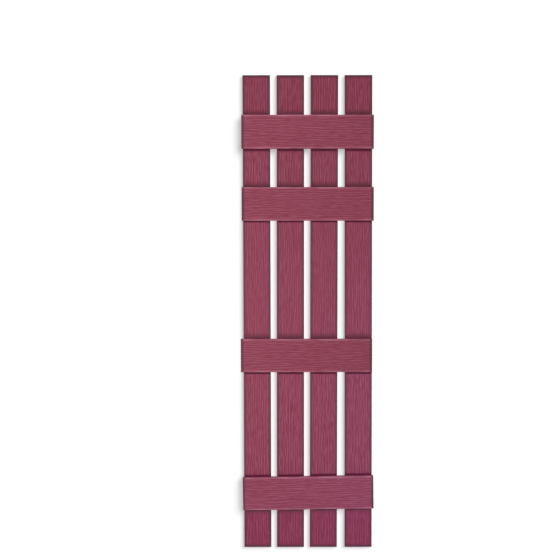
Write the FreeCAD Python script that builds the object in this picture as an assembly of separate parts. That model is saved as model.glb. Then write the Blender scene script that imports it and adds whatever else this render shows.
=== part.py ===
import FreeCAD, Part
import math
import os

# Board and batten shutter, in millimetres.
# Four upright boards stand side by side with open gaps, and four battens cross their fronts.
# The wall is the plane y = 0, the front faces -Y, and +Z is up. The origin is on the wall plane,
# at half the boards' length, on the even centre line of the left centre board.

# Boards and the gaps between them
board_length = 1330.0
board_width = 76.5
board_gap = 18.45
board_thickness = 12.7
board_edge_radius = 3.0
board_back_chamfer = 1.0

# Battens: the end margin runs from a board's end to the near edge of the top or bottom batten,
# and the drop and the rise run between the centre lines of neighbouring battens
batten_height = 94.0
batten_thickness = 12.7
batten_overhang = 3.475
batten_edge_radius = 3.0
batten_back_chamfer = 1.5
end_margin = 111.0
upper_batten_drop = 199.9
lower_batten_rise = 389.6

# How far each piece was set out of true: a board's foot, a batten's middle, and a batten's tilt in degrees
left_foot_shift = 1.8
left_centre_foot_shift = -0.5
right_centre_foot_shift = -2.3
right_foot_shift = 1.6
top_batten_shift = 0.2
upper_batten_shift = 0.5
lower_batten_shift = -3.0
bottom_batten_shift = 1.8
bottom_batten_tilt = 0.8

# Moulded walls and ribs: the setback is how far a rib stops short of its moulding's rim, a spread is
# the distance between the two lengthwise ribs, and the spacing is the longest step between cross ribs
face_thickness = 3.0
wall_thickness = 2.5
rib_thickness = 2.0
rib_setback = 1.5
board_rib_spread = 26.0
board_rib_spacing = 170.0
batten_rib_spread = 34.0

# Screw seats, one at the middle of each crossing
screw_hole_diameter = 4.8
screw_head_room = 5.0
screw_pilot_diameter = 3.2
screw_pilot_depth = 8.0
boss_diameter = 11.0
post_diameter = 9.0

board_pitch = board_width + board_gap
shutter_centre = board_pitch / 2
batten_length = 4 * board_width + 3 * board_gap + 2 * batten_overhang
end_batten_level = board_length / 2 - end_margin - batten_height / 2

# Each board: name, even centre line, foot shift
boards = [
    ("left_board", -board_pitch, left_foot_shift),
    ("left_centre_board", 0.0, left_centre_foot_shift),
    ("right_centre_board", board_pitch, right_centre_foot_shift),
    ("right_board", 2 * board_pitch, right_foot_shift),
]

# Each batten: name, level of its centre line, sideways shift, tilt with its right end up
battens = [
    ("top_batten", end_batten_level, top_batten_shift, 0.0),
    ("upper_batten", end_batten_level - upper_batten_drop, upper_batten_shift, 0.0),
    ("lower_batten", -end_batten_level + lower_batten_rise, lower_batten_shift, 0.0),
    ("bottom_batten", -end_batten_level, bottom_batten_shift, bottom_batten_tilt),
]

depth_axis = FreeCAD.Vector(0, 1, 0)


def centred_box(width, low_y, high_y, height, x=0.0, z=0.0):
    """A box with its middle at x and z, between two depths."""
    corner = FreeCAD.Vector(x - width / 2, low_y, z - height / 2)
    return Part.makeBox(width, high_y - low_y, height, corner)


def round_bar(diameter, low_y, high_y, x, z):
    """A cylinder that runs from one depth to another."""
    return Part.makeCylinder(diameter / 2, high_y - low_y, FreeCAD.Vector(x, low_y, z), depth_axis)


def front_edges(block, thickness):
    """The four edges round the front of a block whose back is on y = 0."""
    return [edge for edge in block.Edges if edge.BoundBox.YMax < -thickness / 2]


def back_edges(block, thickness):
    """The four edges round the back of a block whose back is on y = 0."""
    return [edge for edge in block.Edges if edge.BoundBox.YMin > -thickness / 2]


def moulding(width, height, thickness, edge_radius, back_chamfer, upright_ribs, level_ribs):
    """An open-backed moulding with a rounded front, a chamfered back and ribs inside, its rim on y = 0."""
    block = centred_box(width, -thickness, 0, height)
    rounded = block.makeFillet(edge_radius, front_edges(block, thickness))
    outside = rounded.makeChamfer(back_chamfer, back_edges(rounded, thickness))
    inner_width = width - 2 * wall_thickness
    inner_height = height - 2 * wall_thickness
    hollow = centred_box(inner_width, face_thickness - thickness, 0, inner_height)
    rooted_width = width - wall_thickness
    rooted_height = height - wall_thickness
    root = face_thickness / 2 - thickness
    ribs = [centred_box(rib_thickness, root, -rib_setback, rooted_height, x=x) for x in upright_ribs]
    ribs += [centred_box(rooted_width, root, -rib_setback, rib_thickness, z=z) for z in level_ribs]
    return outside.cut(hollow).multiFuse(ribs)


def board_rib_levels():
    """A rib behind each edge of every batten, and even steps between those and the board's ends."""
    marks = [-board_length / 2, board_length / 2]
    for name, level, shift, tilt in battens:
        marks += [level - batten_height / 2, level + batten_height / 2]
    marks.sort()
    levels = []
    for low, high in zip(marks, marks[1:]):
        steps = math.ceil((high - low) / board_rib_spacing)
        levels += [low + (high - low) * step / steps for step in range(1, steps + 1)]
    return levels[:-1]


def board_line(centre, foot_shift, level):
    """Where a board's centre line passes a level, with its head in true place and its foot shifted."""
    return centre + foot_shift * (board_length / 2 - level) / board_length


def screw_point(board, batten):
    """The screw at the middle of one crossing."""
    board_name, centre, foot_shift = board
    batten_name, level, shift, tilt = batten
    x = board_line(centre, foot_shift, level)
    return x, level + math.tan(math.radians(tilt)) * (x - shutter_centre - shift)


def make_board(board):
    """An upright board, turned about its head, with a bored boss for each screw from behind."""
    name, centre, foot_shift = board
    upright_ribs = [-board_rib_spread / 2, board_rib_spread / 2]
    level_ribs = board_rib_levels()
    sizes = (board_width, board_length, board_thickness, board_edge_radius, board_back_chamfer)
    shape = moulding(*sizes, upright_ribs, level_ribs)
    shape.translate(FreeCAD.Vector(centre, 0, 0))
    head = FreeCAD.Vector(centre, 0, board_length / 2)
    shape.rotate(head, depth_axis, -math.degrees(math.asin(foot_shift / board_length)))
    points = [screw_point(board, batten) for batten in battens]
    root = face_thickness / 2 - board_thickness
    bosses = [round_bar(boss_diameter, root, -screw_head_room, x, z) for x, z in points]
    holes = [round_bar(screw_hole_diameter, -board_thickness, -screw_head_room, x, z) for x, z in points]
    return shape.multiFuse(bosses).cut(Part.makeCompound(holes)).removeSplitter()


def make_batten(batten):
    """A batten seated on the boards' fronts, with a post and a blind pilot hole for each screw."""
    name, level, shift, tilt = batten
    middle = shutter_centre + shift
    board_lines = [board_line(centre, foot_shift, level) for board_name, centre, foot_shift in boards]
    upright_ribs = [(left + right) / 2 - middle for left, right in zip(board_lines, board_lines[1:])]
    level_ribs = [-batten_rib_spread / 2, batten_rib_spread / 2]
    sizes = (batten_length, batten_height, batten_thickness, batten_edge_radius, batten_back_chamfer)
    shape = moulding(*sizes, upright_ribs, level_ribs)
    shape.rotate(FreeCAD.Vector(0, 0, 0), depth_axis, -tilt)
    seat = -board_thickness
    shape.translate(FreeCAD.Vector(middle, seat, level))
    points = [screw_point(board, batten) for board in boards]
    root = seat - batten_thickness + face_thickness / 2
    posts = [round_bar(post_diameter, root, seat, x, z) for x, z in points]
    pilots = [round_bar(screw_pilot_diameter, seat - screw_pilot_depth, seat, x, z) for x, z in points]
    return shape.multiFuse(posts).cut(Part.makeCompound(pilots)).removeSplitter()


os.makedirs("parts", exist_ok=True)
for board in boards:
    make_board(board).exportStep("parts/" + board[0] + ".step")
for batten in battens:
    make_batten(batten).exportStep("parts/" + batten[0] + ".step")
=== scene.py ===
import math

import bpy
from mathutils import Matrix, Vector


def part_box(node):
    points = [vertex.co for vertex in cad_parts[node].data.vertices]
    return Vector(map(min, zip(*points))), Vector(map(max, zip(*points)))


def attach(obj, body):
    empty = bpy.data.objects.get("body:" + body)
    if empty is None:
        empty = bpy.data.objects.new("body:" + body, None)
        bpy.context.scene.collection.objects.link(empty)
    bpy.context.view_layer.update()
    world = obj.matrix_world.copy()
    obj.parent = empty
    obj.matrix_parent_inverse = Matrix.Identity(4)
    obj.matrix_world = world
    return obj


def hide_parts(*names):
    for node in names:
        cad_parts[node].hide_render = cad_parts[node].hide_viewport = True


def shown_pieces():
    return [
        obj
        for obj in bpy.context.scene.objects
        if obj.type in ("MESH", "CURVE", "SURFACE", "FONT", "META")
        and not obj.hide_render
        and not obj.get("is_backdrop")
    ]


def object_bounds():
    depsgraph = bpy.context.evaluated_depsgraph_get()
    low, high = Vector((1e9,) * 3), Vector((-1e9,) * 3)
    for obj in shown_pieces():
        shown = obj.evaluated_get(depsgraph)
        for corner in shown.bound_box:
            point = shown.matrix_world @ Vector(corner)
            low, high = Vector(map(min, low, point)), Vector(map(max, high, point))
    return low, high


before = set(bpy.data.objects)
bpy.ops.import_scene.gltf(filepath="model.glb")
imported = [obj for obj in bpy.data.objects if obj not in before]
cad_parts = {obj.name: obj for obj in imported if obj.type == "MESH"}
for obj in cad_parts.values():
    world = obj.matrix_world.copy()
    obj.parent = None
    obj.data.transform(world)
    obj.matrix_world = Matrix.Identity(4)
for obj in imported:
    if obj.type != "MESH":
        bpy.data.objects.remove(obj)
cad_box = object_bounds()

# Boards
# Four upright boards, each an open-backed moulding of wine-red polypropylene with ribs and screw bosses
# behind. The mould presses a wood grain into their fronts, along the length. The screws from behind hold the
# battens to them, and where a batten sits the front stays flat.
board_names = ["left_board", "left_centre_board", "right_centre_board", "right_board"]
batten_names = ["top_batten", "upper_batten", "lower_batten", "bottom_batten"]
board_width = 0.0765
board_edge_radius = 0.003
# Painted shade: the boards' long front edges are darkened, standing in for the shade on their rounded edges
board_edge_painted_shade = (0.136, 0.034, 0.053, 1)
board_side_reach = 0.0095
board_side_patches = 0.0
# Painted shade reaches this far in from the boards' ends
board_end_reach = 0.013
board_painted_lightness = 0.0
board_boldness = (0.9, 1.22)
board_grain_depth = 0.00035
batten_lap = 0.008
grain_cells_across = 101
board_cell_length = 0.004
hole_radius = 0.0024
hole_margin = 0.0003
merge_distance = 0.000001
touch_distance = 0.00001
slope_limit = 0.1
panel_margin = 0.001
most_cuts = 100
smooth_angle = math.radians(45)


def deselect_all():
    bpy.ops.object.select_all(action="DESELECT")


def merged_copy(node):
    """A new object with its own copy of a CAD node's mesh, its loose triangles merged."""
    deselect_all()
    piece = bpy.data.objects.new(node + "_moulding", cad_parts[node].data.copy())
    bpy.context.scene.collection.objects.link(piece)
    piece.select_set(True)
    bpy.context.view_layer.objects.active = piece
    piece.data.materials.clear()
    bpy.ops.object.mode_set(mode="EDIT")
    bpy.ops.mesh.select_all(action="SELECT")
    bpy.ops.mesh.remove_doubles(threshold=merge_distance)
    bpy.ops.mesh.customdata_custom_splitnormals_clear()
    bpy.ops.object.mode_set(mode="OBJECT")
    return piece


def end_middles(node, axis):
    """The middles of a moulding's low and high ends, along axis 0 or 2, on the wall plane."""
    end_band = 0.006
    other = 2 - axis
    corners = [vertex.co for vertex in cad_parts[node].data.vertices]
    low = min(corner[axis] for corner in corners)
    high = max(corner[axis] for corner in corners)
    middles = []
    for end in (low, high):
        near = [corner[other] for corner in corners if abs(corner[axis] - end) < end_band]
        middle = Vector((0, 0, 0))
        middle[axis] = end
        middle[other] = (min(near) + max(near)) / 2
        middles.append(middle)
    return middles


def crossing(board, batten):
    """Where the centre lines of a board and a batten cross."""
    foot, head = end_middles(board, 2)
    left, right = end_middles(batten, 0)
    rounds = 3
    x = foot.x
    for _ in range(rounds):
        z = left.z + (right.z - left.z) * (x - left.x) / (right.x - left.x)
        x = foot.x + (head.x - foot.x) * (z - foot.z) / (head.z - foot.z)
    return Vector((x, 0, z))


def select_faces(piece, wanted):
    """Goes into edit mode with just those faces selected whose middle and normal pass a test."""
    bpy.ops.object.mode_set(mode="OBJECT")
    bpy.context.tool_settings.mesh_select_mode = (False, False, True)
    piece.data.vertices.foreach_set("select", [False] * len(piece.data.vertices))
    piece.data.edges.foreach_set("select", [False] * len(piece.data.edges))
    chosen = [wanted(face.center, face.normal) for face in piece.data.polygons]
    piece.data.polygons.foreach_set("select", chosen)
    bpy.ops.object.mode_set(mode="EDIT")


def select_edges(piece, wanted):
    """Goes into edit mode with just those edges selected whose two ends pass a test."""
    bpy.ops.object.mode_set(mode="OBJECT")
    bpy.context.tool_settings.mesh_select_mode = (False, True, False)
    places = [vertex.co for vertex in piece.data.vertices]
    piece.data.vertices.foreach_set("select", [False] * len(piece.data.vertices))
    piece.data.polygons.foreach_set("select", [False] * len(piece.data.polygons))
    chosen = [wanted(places[edge.vertices[0]], places[edge.vertices[1]]) for edge in piece.data.edges]
    piece.data.edges.foreach_set("select", chosen)
    bpy.ops.object.mode_set(mode="EDIT")


def on_front(piece_front):
    """A test for faces on a moulding's flat front."""
    flat_limit = -0.99999
    return lambda middle, normal: normal.y < flat_limit and abs(middle.y - piece_front) < touch_distance


def reface(piece, front, screw_points):
    """Makes a moulding's flat front one sheet, with no triangles and no screw holes."""
    flat = on_front(front)
    reach = hole_radius + hole_margin

    def cut_away(middle, normal):
        bored = any(math.hypot(middle.x - p.x, middle.z - p.z) < reach for p in screw_points)
        return flat(middle, normal) or bored

    select_faces(piece, cut_away)
    bpy.ops.mesh.delete(type="FACE")
    bpy.ops.mesh.select_all(action="SELECT")
    bpy.ops.mesh.fill_holes(sides=0)
    bpy.ops.mesh.select_all(action="SELECT")
    bpy.ops.mesh.normals_make_consistent(inside=False)


class Wire:
    """One output socket of a node. Python's operators on it add Math nodes to its tree."""

    def __init__(self, tree, socket=None):
        self.tree = tree
        self.socket = socket

    def node(self, kind, settings=None, sockets=None, output=0):
        """Adds a node: its settings first, then its sockets' values or links. Gives one of its outputs."""
        made = self.tree.nodes.new(kind)
        for name, setting in (settings or {}).items():
            setattr(made, name, setting)
        for place, value in (sockets or {}).items():
            if isinstance(value, Wire):
                self.tree.links.new(value.socket, made.inputs[place])
            else:
                made.inputs[place].default_value = value
        return Wire(self.tree, made.outputs[output] if made.outputs else None)

    def math(self, operation, *values):
        return self.node("ShaderNodeMath", {"operation": operation}, dict(enumerate(values)))

    def __add__(self, other):
        return self.math("ADD", self, other)

    def __radd__(self, other):
        return self.math("ADD", other, self)

    def __sub__(self, other):
        return self.math("SUBTRACT", self, other)

    def __rsub__(self, other):
        return self.math("SUBTRACT", other, self)

    def __mul__(self, other):
        return self.math("MULTIPLY", self, other)

    def __rmul__(self, other):
        return self.math("MULTIPLY", other, self)

    def __truediv__(self, other):
        return self.math("DIVIDE", self, other)

    def __abs__(self):
        return self.math("ABSOLUTE", self)

    def part(self, axis):
        """One part of a vector: 0, 1 or 2."""
        return self.node("ShaderNodeSeparateXYZ", {}, {0: self}, axis)

    def step(self, low, high):
        """A smooth step, 0 below low and 1 above high."""
        settings = {"interpolation_type": "SMOOTHSTEP"}
        return self.node("ShaderNodeMapRange", settings, {0: self, 1: low, 2: high})

    def noise(self, x, y, z, detail):
        """Soft noise about 0.5, one cell for each unit of x, y and z."""
        place = self.node("ShaderNodeCombineXYZ", {}, {0: x, 1: y, 2: z})
        return self.node("ShaderNodeTexNoise", {}, {"Vector": place, "Scale": 1.0, "Detail": detail})

    def blend(self, low, high, way="MIX"):
        """A colour between two, or with MULTIPLY the first tinted by the second, by this value's share."""
        settings = {"data_type": "RGBA", "blend_type": way}
        return self.node("ShaderNodeMix", settings, {0: self, 6: low, 7: high}, 2)


def lengthwise(place, along_axis, ends):
    """A place's distance along a moulding, its distance from the moulding's centre line, and its depth."""
    across_axis = 2 - along_axis
    low, high = ends
    slope = (high[across_axis] - low[across_axis]) / (high[along_axis] - low[along_axis])
    along = place.part(along_axis)
    across = place.part(across_axis) - low[across_axis] - (along - low[along_axis]) * slope
    return along, across, place.part(1)


def grain_lines(along, across, seed):
    """The pressed grain at a place: 0 in the grooves and 1 on the straight, broken ridges."""
    line_spacing = 0.0062
    dash_length = 0.046
    dash_width = 0.01
    thread_length = 0.022
    thread_width = 0.0019
    thread_layer = 7.5
    dash_share = 2.2
    thread_share = 1.2
    groove_level = -0.42
    ridge_level = 0.66
    upright = math.radians(90)
    cells = {0: along / dash_length + seed, 1: across / dash_width + seed}
    place = along.node("ShaderNodeCombineXYZ", {}, cells)
    waves = {"Vector": place, "Scale": 1.0, "Frequency": dash_width / line_spacing, "Orientation": upright}
    dashes = along.node("ShaderNodeTexGabor", {"gabor_type": "2D"}, waves, "Value") - 0.5
    threads = along.noise(along / thread_length, across / thread_width, seed + thread_layer, 0.0) - 0.5
    return (dashes * dash_share + threads * thread_share).step(groove_level, ridge_level)


def grain_seed(along_axis, ends):
    """A number of a moulding's own, from its place, so that no two have the same grain."""
    cells_per_metre = 100
    return ends[0][2 - along_axis] * cells_per_metre


def split_many_sided(piece):
    """Splits the many-sided faces beside a divided front into triangles, and clears those with no area."""
    rounds = 4
    bpy.ops.object.mode_set(mode="EDIT")
    bpy.context.tool_settings.mesh_select_mode = (False, False, True)
    bpy.ops.mesh.select_all(action="DESELECT")
    bpy.ops.mesh.select_face_by_sides(number=4, type="GREATER")
    for _ in range(rounds):
        bpy.ops.mesh.quads_convert_to_tris(quad_method="BEAUTY", ngon_method="BEAUTY")
        bpy.ops.mesh.dissolve_degenerate(threshold=merge_distance)
    bpy.ops.object.mode_set(mode="OBJECT")


def press_grain(piece, along_axis, ends, front, sizes, edge_radius, grain_depth):
    """Presses the grain into a moulding's flat front, fading out beside its rounded edges."""
    edge_fade = 0.003
    tree = bpy.data.node_groups.new(piece.name + "_grain", "GeometryNodeTree")
    tree.interface.new_socket("Geometry", in_out="INPUT", socket_type="NodeSocketGeometry")
    tree.interface.new_socket("Geometry", in_out="OUTPUT", socket_type="NodeSocketGeometry")
    start = Wire(tree)
    shell = start.node("NodeGroupInput")
    along, across, depth = lengthwise(start.node("GeometryNodeInputPosition"), along_axis, ends)
    groove = 1 - grain_lines(along, across, grain_seed(along_axis, ends))
    length, width = sizes
    flat = start.math("LESS_THAN", depth, front + touch_distance)
    middle = (ends[0][along_axis] + ends[1][along_axis]) / 2
    end_room = length / 2 - edge_radius - abs(along - middle)
    side_room = width / 2 - edge_radius - abs(across)
    inside = flat * end_room.step(0.0, edge_fade) * side_room.step(0.0, edge_fade)
    push = start.node("ShaderNodeCombineXYZ", {}, {1: groove * inside * grain_depth})
    pressed = start.node("GeometryNodeSetPosition", {}, {"Geometry": shell, "Offset": push})
    start.node("NodeGroupOutput", {}, {0: pressed})
    modifier = piece.modifiers.new("pressed_grain", "NODES")
    modifier.node_group = tree
    bpy.ops.object.modifier_apply(modifier=modifier.name)
    bpy.ops.object.shade_smooth_by_angle(angle=smooth_angle)


def wine_plastic(name, along_axis, ends, front, sizes, shading):
    """Wine-red polypropylene: grained and satin at the front, plain and duller behind."""
    # The grain is fainter in the calm stretch, and boldness is its contrast there and elsewhere
    painted_edge_light_and_shade, side_reach, side_patches, end_reach, painted_lightness, calm_stretch, boldness = shading
    groove_colour = (0.21, 0.0235, 0.0527, 1)
    ridge_colour = (0.323, 0.0795, 0.124, 1)
    painted_end_shade = (0.076, 0.021, 0.036, 1)
    wall_colour = (0.19, 0.022, 0.056, 1)
    back_colour = (0.235, 0.03, 0.068, 1)
    grain_reach = 0.006
    wall_reach = 0.0006
    edge_depth = 0.0022
    side_core = 0.25
    patch_length = 0.06
    patch_low = 0.35
    patch_high = 0.65
    line_share = 0.75
    pore_share = 0.25
    even_shade = 0.38
    calm_fade = 0.03
    pore_width = 0.0011
    pore_length = 0.012
    pore_relief = 0.6
    peel_size = 0.0016
    peel_relief = 0.25
    bump_strength = 0.35
    bump_height = 0.0004
    groove_roughness = 0.56
    ridge_polish = 0.1
    gloss_level = 0.18
    material = bpy.data.materials.new(name)
    material.use_nodes = True
    tree = material.node_tree
    start = Wire(tree)
    along, across, depth = lengthwise(start.node("ShaderNodeTexCoord", {}, {}, "Object"), along_axis, ends)
    length, width = sizes
    middle = (ends[0][along_axis] + ends[1][along_axis]) / 2
    grained = (depth - front).step(grain_reach, 0.0)
    side_room = width / 2 - abs(across)
    end_room = length / 2 - abs(along - middle)
    # Painted light and shade along the long front edges: shade on the boards, a patchy highlight on the
    # battens
    patches = start.noise(along / patch_length, across / patch_length, 0.0, 1.0).step(patch_low, patch_high)
    edge = (depth - front).step(edge_depth * 2, edge_depth)
    side = side_room.step(side_reach, side_reach * side_core) * (1 - patches * side_patches) * edge
    # Painted shade: the front darkens towards the ends
    end = end_room.step(end_reach, 0.0)
    wall = start.math("MINIMUM", side_room, end_room).step(wall_reach * 2, wall_reach)
    lines = grain_lines(along, across, grain_seed(along_axis, ends))
    pores = start.noise(along / pore_length, across / pore_width, depth / pore_width, 2.0)
    peel = start.noise(along / peel_size, across / peel_size, depth / peel_size, 1.0)
    calm_low, calm_high = calm_stretch
    calm_bold, full_bold = boldness
    # Painted light: the bolder grain outside the calm stretch stands in for light raking across the grain
    calm = (along - calm_low).step(0.0, calm_fade) * (calm_high - along).step(0.0, calm_fade)
    contrast = full_bold - calm * (full_bold - calm_bold)
    # The painted lightness lifts the whole grain towards the ridge colour
    shade = (lines * line_share + pores * pore_share - even_shade) * contrast + even_shade + painted_lightness
    face_colour = side.blend(shade.blend(groove_colour, ridge_colour), painted_edge_light_and_shade)
    face_colour = end.blend(face_colour, painted_end_shade)
    colour = grained.blend(wall.blend(back_colour, wall_colour), face_colour)
    roughness = groove_roughness - grained * lines * ridge_polish
    relief = grained * pores * pore_relief + (1 - grained) * peel * peel_relief
    heights = {"Strength": bump_strength, "Distance": bump_height, "Height": relief}
    bump = start.node("ShaderNodeBump", {}, heights)
    shader = tree.nodes["Principled BSDF"]
    shader.inputs["Specular IOR Level"].default_value = gloss_level
    for socket, value in (("Base Color", colour), ("Roughness", roughness), ("Normal", bump)):
        tree.links.new(value.socket, shader.inputs[socket])
    return material


def paint_face_shade(material, front):
    """Paints shade on a board's face: soft shade and contact shadows by the battens, deeper at its ends."""
    # Painted shade: soft shade beside the battens, dark contact shadows along their edges, and a deeper tone
    # over the head and foot
    painted_soft_shade = (0.141, 0.026, 0.048, 1)
    painted_contact_shadow = (0.106, 0.004, 0.03, 1)
    head_painted_shade = (0.985, 0.87, 0.93, 1)
    foot_painted_shade = (0.93, 0.71, 0.915, 1)
    face_reach = 0.005
    above = 1
    below = -1
    # Each mark: batten, side, colour, way of blending, where it ends and up to where it is full
    marks = [
        ("top_batten", above, head_painted_shade, "MULTIPLY", 0.3, 0.2),
        ("bottom_batten", below, foot_painted_shade, "MULTIPLY", 0.3, 0.2),
        ("top_batten", above, painted_soft_shade, "MIX", 0.021, 0.0),
        ("top_batten", below, painted_contact_shadow, "MIX", 0.0115, 0.0),
        ("upper_batten", above, painted_soft_shade, "MIX", 0.021, 0.0),
        ("upper_batten", below, painted_contact_shadow, "MIX", 0.005, 0.0025),
        ("lower_batten", above, painted_soft_shade, "MIX", 0.021, 0.0),
        ("lower_batten", below, painted_contact_shadow, "MIX", 0.0072, 0.006),
        ("bottom_batten", above, painted_contact_shadow, "MIX", 0.0075, 0.002),
        ("bottom_batten", below, painted_soft_shade, "MIX", 0.019, 0.0),
    ]
    tree = material.node_tree
    shader = tree.nodes["Principled BSDF"]
    colour = Wire(tree, shader.inputs["Base Color"].links[0].from_socket)
    place = colour.node("ShaderNodeTexCoord", {}, {}, "Object")
    face = (place.part(1) - front).step(face_reach, 0.0)
    for batten, side, shade, way, reach, full in marks:
        low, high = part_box(batten)
        left, right = end_middles(batten, 0)
        half_height = (high.z - low.z - abs(right.z - left.z)) / 2
        along, across, depth = lengthwise(place, 0, (left, right))
        outward = across * side
        near = (outward - half_height).step(reach, full) * outward.math("GREATER_THAN", outward, 0.0)
        colour = (near * face).blend(colour, shade, way)
    tree.links.new(colour.socket, shader.inputs["Base Color"])


def finish_piece(piece, material, slot, *nodes):
    """Gives a piece its material and body, and hides the nodes it stands for."""
    piece.data.materials.append(material)
    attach(piece, "root")
    if nodes:
        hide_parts(*nodes)


for name in board_names:
    low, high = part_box(name)
    front = low.y
    board = merged_copy(name)
    reface(board, front, [crossing(name, batten) for batten in batten_names])
    lap_edges = []
    for batten in batten_names:
        batten_low, batten_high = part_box(batten)
        lap_edges += [batten_low.z + batten_lap, batten_high.z - batten_lap]
    lap_edges.sort()
    for level in lap_edges:
        select_faces(board, on_front(front))
        bpy.ops.mesh.bisect(plane_co=(0, 0, level), plane_no=(0, 0, 1))
    flat_foot = low.z + board_edge_radius
    flat_head = high.z - board_edge_radius

    def lies_across(a, b):
        level = abs(a.z - b.z) < abs(a.x - b.x) * slope_limit
        return level and max(abs(a.y - front), abs(b.y - front)) < touch_distance

    select_edges(board, lies_across)
    bpy.ops.mesh.subdivide(number_cuts=grain_cells_across - 1)
    panel_ends = [flat_foot, *lap_edges, flat_head]
    for foot, head in zip(panel_ends[::2], panel_ends[1::2]):

        def runs_up(a, b):
            inside = foot - panel_margin < min(a.z, b.z) and max(a.z, b.z) < head + panel_margin
            upright = abs(a.x - b.x) < abs(a.z - b.z) * slope_limit
            return inside and upright and max(abs(a.y - front), abs(b.y - front)) < touch_distance

        select_edges(board, runs_up)
        bpy.ops.mesh.subdivide(number_cuts=min(most_cuts, round((head - foot) / board_cell_length) - 1))
    ends = end_middles(name, 2)
    sizes = (high.z - low.z, board_width)
    split_many_sided(board)
    press_grain(board, 2, ends, front, sizes, board_edge_radius, board_grain_depth)
    calm_stretch = (end_middles("lower_batten", 0)[0].z, end_middles("upper_batten", 0)[0].z)
    edges = (board_edge_painted_shade, board_side_reach, board_side_patches, board_end_reach)
    shading = (*edges, board_painted_lightness, calm_stretch, board_boldness)
    plastic = wine_plastic(name + "_plastic", 2, ends, front, sizes, shading)
    paint_face_shade(plastic, front)
    finish_piece(board, plastic, "board_plastic", name)

# Battens
# Four battens of the same plastic, open-backed and ribbed like the boards, lie across the boards' fronts.
# Their grain runs along them, so across the boards' grain. Screws from behind hold them.
batten_height = 0.094
batten_edge_radius = 0.003
# Painted highlight: a pale, patchy band along the battens' long front edges stands in for light catching
# their rounded edges
batten_edge_painted_highlight = (0.426, 0.146, 0.201, 1)
batten_side_reach = 0.0072
batten_side_patches = 0.65
# Painted shade reaches this far in from the battens' ends
batten_end_reach = 0.011
# Painted light: the battens' grain is lifted towards the ridge colour, standing in for the extra light and
# gloss they catch
batten_painted_lightness = 0.08
batten_boldness = (1.0, 1.0)
batten_grain_depth = 0.00035
batten_cuts = 100

for name in batten_names:
    low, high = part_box(name)
    front = low.y
    batten = merged_copy(name)
    reface(batten, front, [])
    select_faces(batten, on_front(front))
    bpy.ops.mesh.subdivide(number_cuts=batten_cuts)
    ends = end_middles(name, 0)
    sizes = (high.x - low.x, batten_height)
    split_many_sided(batten)
    press_grain(batten, 0, ends, front, sizes, batten_edge_radius, batten_grain_depth)
    edges = (batten_edge_painted_highlight, batten_side_reach, batten_side_patches, batten_end_reach)
    shading = (*edges, batten_painted_lightness, (low.x, high.x), batten_boldness)
    plastic = wine_plastic(name + "_plastic", 0, ends, front, sizes, shading)
    finish_piece(batten, plastic, "batten_plastic", name)

# Screws
# Sixteen pan-head screws of zinc-plated steel, one at the middle of each crossing. They are driven from
# behind through the boards' bosses into the battens' posts, so only their heads show.
screw_seat = -0.005
head_radius = 0.004
head_height = 0.0026
shank_radius = 0.0019
shank_length = 0.0145
point_length = 0.003
recess_length = 0.0046
recess_width = 0.0011
recess_depth = 0.0014
head_sides = 32
head_round = 0.6
head_round_steps = 4
point_share = 0.15


def make_screw():
    """One screw at the origin, its head seated on y = 0 and its point towards -Y."""
    deselect_all()
    bpy.ops.mesh.primitive_cylinder_add(
        vertices=head_sides,
        radius=head_radius,
        depth=head_height,
        location=(0, head_height / 2, 0),
        rotation=(math.radians(-90), 0, 0),
    )
    screw = bpy.context.object
    bpy.ops.object.transform_apply(location=True, rotation=True, scale=True)
    top = head_height

    def on_rim(a, b):
        return min(a.y, b.y) > top - merge_distance

    select_edges(screw, on_rim)
    bpy.ops.mesh.bevel(offset=head_height * head_round, segments=head_round_steps, affect="EDGES")
    facing_point = -0.9
    select_faces(screw, lambda middle, normal: normal.y < facing_point)
    bpy.ops.mesh.inset(thickness=head_radius - shank_radius)
    bpy.ops.mesh.extrude_region_move(TRANSFORM_OT_translate={"value": (0, point_length - shank_length, 0)})
    bpy.ops.mesh.extrude_region_move(TRANSFORM_OT_translate={"value": (0, -point_length, 0)})
    bpy.ops.transform.resize(value=(point_share, 1, point_share))
    bpy.ops.object.mode_set(mode="OBJECT")
    punch_depth = recess_depth * 2
    for arm in ((recess_length, punch_depth, recess_width), (recess_width, punch_depth, recess_length)):
        deselect_all()
        bpy.ops.mesh.primitive_cube_add(size=1, location=(0, top, 0), scale=arm)
        punch = bpy.context.object
        bpy.ops.object.transform_apply(location=True, rotation=True, scale=True)
        screw.select_set(True)
        bpy.context.view_layer.objects.active = screw
        recess = screw.modifiers.new("recess", "BOOLEAN")
        recess.object = punch
        bpy.ops.object.modifier_apply(modifier=recess.name)
        bpy.data.objects.remove(punch)
    return screw


screw = make_screw()
bpy.ops.object.shade_smooth_by_angle(angle=smooth_angle)


def zinc_steel():
    """Zinc-plated steel, faintly clouded."""
    dull_zinc = (0.45, 0.45, 0.46, 1)
    bright_zinc = (0.62, 0.62, 0.63, 1)
    cloud_size = 0.002
    least_roughness = 0.25
    cloud_roughness = 0.2
    material = bpy.data.materials.new("zinc_plate")
    material.use_nodes = True
    tree = material.node_tree
    start = Wire(tree)
    place = start.node("ShaderNodeTexCoord", {}, {}, "Object")
    cloud = start.noise(*(place.part(axis) / cloud_size for axis in range(3)), 2.0)
    shader = tree.nodes["Principled BSDF"]
    shader.inputs["Metallic"].default_value = 1.0
    colour = cloud.blend(dull_zinc, bright_zinc)
    roughness = cloud * cloud_roughness + least_roughness
    tree.links.new(colour.socket, shader.inputs["Base Color"])
    tree.links.new(roughness.socket, shader.inputs["Roughness"])
    return material


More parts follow.
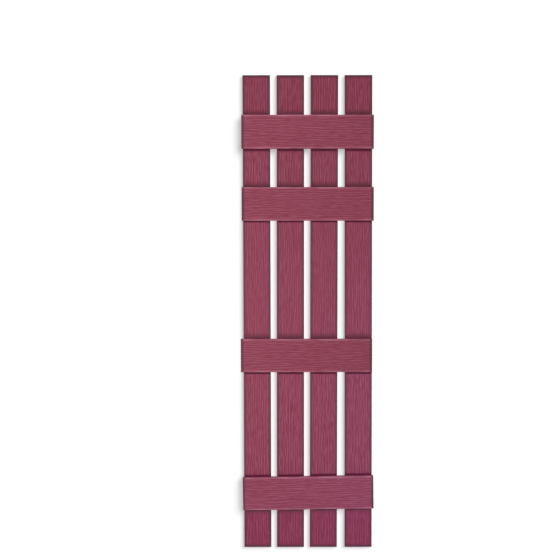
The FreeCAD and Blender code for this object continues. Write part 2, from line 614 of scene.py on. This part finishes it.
zinc = zinc_steel()
for batten in batten_names:
    deselect_all()
    copies = []
    for board in board_names:
        copy = screw.copy()
        copy.data = screw.data.copy()
        bpy.context.scene.collection.objects.link(copy)
        point = crossing(board, batten)
        copy.location = (point.x, screw_seat, point.z)
        copy.select_set(True)
        copies.append(copy)
    bpy.context.view_layer.objects.active = copies[0]
    bpy.ops.object.join()
    bpy.ops.object.transform_apply(location=True, rotation=True, scale=True)
    copies[0].name = batten + "_screws"
    finish_piece(copies[0], zinc, "screw_steel")
bpy.data.objects.remove(screw)

# Wall and floor
# White paper stands behind the shutter, with a pale floor below it. Each shows to the camera only from its
# front, so that the other views look past it, and the paper takes the shutter's soft shadow.
wall_gap = 0.0005
floor_drop = 0.25
stage_size = 6.0
wall_glow = 0.49
floor_glow = 0.82


def white_paper(name, glow):
    """White paper with a glow of its own, so that it shows as pure white and still takes a shadow."""
    paper_colour = (0.35, 0.35, 0.35, 1)
    material = bpy.data.materials.new(name)
    material.use_nodes = True
    tree = material.node_tree
    tree.nodes.clear()
    start = Wire(tree)
    seen = start.node("ShaderNodeLightPath", {}, {}, "Is Camera Ray")
    behind = start.node("ShaderNodeNewGeometry", {}, {}, "Backfacing")
    paper = start.node("ShaderNodeBsdfDiffuse", {}, {"Color": paper_colour})
    light = start.node("ShaderNodeEmission", {}, {"Strength": glow})
    lit = start.node("ShaderNodeAddShader", {}, {0: paper, 1: light})
    clear = start.node("ShaderNodeBsdfTransparent")
    surface = start.node("ShaderNodeMixShader", {}, {0: seen * (1 - behind), 1: clear, 2: lit})
    start.node("ShaderNodeOutputMaterial", {}, {"Surface": surface})
    return material


stage_parts = bpy.data.collections.new("stage")
bpy.context.scene.collection.children.link(stage_parts)
middle = (cad_box[0] + cad_box[1]) / 2
floor_level = cad_box[0].z - floor_drop
for name, place, turn, glow in (
    ("wall", (middle.x, wall_gap, floor_level + stage_size / 2), (math.radians(90), 0, 0), wall_glow),
    ("floor", (middle.x, wall_gap - stage_size / 2, floor_level), (0, 0, 0), floor_glow),
):
    deselect_all()
    bpy.ops.mesh.primitive_plane_add(size=stage_size, location=place, rotation=turn)
    sheet = bpy.context.object
    sheet.name = name
    sheet.data.materials.append(white_paper(name + "_paper", glow))
    bpy.ops.object.transform_apply(location=True, rotation=True, scale=True)
    for collection in list(sheet.users_collection):
        collection.objects.unlink(sheet)
    stage_parts.objects.link(sheet)
    sheet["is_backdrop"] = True

# Light
# Distant lamps light the shutter from below, from the upper left and from behind, and a panel from the left.
# A cool panel on the right lights the boards and the bottom batten, and one above lights the battens. One
# more lamp casts the shadow of the boards and the outer battens on the white paper alone.
lit_parts = bpy.data.collections.new("shutter_pieces")
shading_parts = bpy.data.collections.new("shading_pieces")
cool_parts = bpy.data.collections.new("cool_pieces")
top_parts = bpy.data.collections.new("top_pieces")
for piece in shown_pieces():
    lit_parts.objects.link(piece)
    node = piece.name.removesuffix("_moulding")
    if node in board_names + [batten_names[0], batten_names[-1]]:
        shading_parts.objects.link(piece)
    if node in board_names + [batten_names[-1]]:
        cool_parts.objects.link(piece)
    if node in batten_names:
        top_parts.objects.link(piece)


def far_lamp(name, source, spread, strength, receivers, blockers):
    """A distant white lamp in the direction of source, as wide across as spread in degrees."""
    lamp = bpy.data.lights.new(name, "SUN")
    lamp.angle = math.radians(spread)
    lamp.energy = strength
    holder = bpy.data.objects.new(name, lamp)
    bpy.context.scene.collection.objects.link(holder)
    holder.rotation_euler = (-Vector(source)).to_track_quat("-Z", "Y").to_euler()
    holder.light_linking.receiver_collection = receivers
    holder.light_linking.blocker_collection = blockers


own_shade = {"receivers": lit_parts, "blockers": lit_parts}
wall_shade = {"receivers": stage_parts, "blockers": shading_parts}
far_lamp("low_light", source=(-0.15, -1.0, -0.9), spread=80, strength=0.95, **own_shade)
far_lamp("high_light", source=(-0.3, -1.0, 0.5), spread=6, strength=1.3, **own_shade)
far_lamp("back_light", source=(0.5, 1.0, 0.7), spread=20, strength=1.2, **own_shade)
far_lamp("shadow_light", source=(0.62, -1.0, 0.62), spread=46, strength=6.15, **wall_shade)


def near_lamp(name, place, target, size, power, colour, receivers):
    """A round soft panel that faces a point of the shutter and lights some of its pieces."""
    lamp = bpy.data.lights.new(name, "AREA")
    lamp.shape = "DISK"
    lamp.size = size
    lamp.energy = power
    lamp.color = colour
    holder = bpy.data.objects.new(name, lamp)
    bpy.context.scene.collection.objects.link(holder)
    holder.location = place
    holder.rotation_euler = (Vector(target) - Vector(place)).to_track_quat("-Z", "Y").to_euler()
    holder.light_linking.receiver_collection = receivers


warm_white = (1.0, 0.97, 0.95)
cool_blue = (0.36, 0.55, 1.0)
plain_white = (1.0, 1.0, 1.0)
left_light = {"size": 0.4, "power": 5.6, "colour": warm_white, "receivers": lit_parts}
cool_light = {"size": 0.4, "power": 3.8, "colour": cool_blue, "receivers": cool_parts}
top_light = {"size": 0.1, "power": 0.6, "colour": plain_white, "receivers": top_parts}
near_lamp("left_panel", place=(-0.8, -0.9, 0.0), target=(0.05, 0, 0), **left_light)
near_lamp("cool_panel", place=(0.85, -0.55, -0.4), target=(0.15, 0, -0.33), **cool_light)
near_lamp("top_panel", place=(-0.03, -0.06, 0.8), target=(-0.03, -0.02, 0.5), **top_light)

world = bpy.data.worlds.new("white_studio")
bpy.context.scene.world = world
world.use_nodes = True
tree = world.node_tree
start = Wire(tree)
shown = start.node("ShaderNodeLightPath", {}, {}, "Is Camera Ray")
for kind in ("Is Glossy Ray", "Is Transmission Ray"):
    shown = start.math("MAXIMUM", shown, start.node("ShaderNodeLightPath", {}, {}, kind))
front_ambient = 0.06
back_ambient = 0.7
front_limit = -0.2
back_limit = 0.6
behind = start.node("ShaderNodeTexCoord", {}, {}, "Generated").part(1).step(front_limit, back_limit)
ambient = front_ambient + behind * (back_ambient - front_ambient)
tree.links.new((ambient + shown * (1 - ambient)).socket, tree.nodes["Background"].inputs["Strength"])
tree.nodes["Background"].inputs["Color"].default_value = (1, 1, 1, 1)

# Camera
# It stands about three metres in front, a little above the middle, and looks slightly down.
camera_place = (-0.0293, -2.983, 0.2336)
camera_dip = 2.683
camera_roll = 0.077
camera_lens = 68.145
camera_sensor = 36
camera_data = bpy.data.cameras.new("camera")
camera_data.sensor_width = camera_sensor
camera_data.lens = camera_lens
camera = bpy.data.objects.new("camera", camera_data)
bpy.context.scene.collection.objects.link(camera)
camera.location = camera_place
camera.rotation_euler = (math.radians(90 - camera_dip), math.radians(camera_roll), 0)
bpy.context.scene.camera = camera
bpy.context.scene.view_settings.view_transform = "Standard"
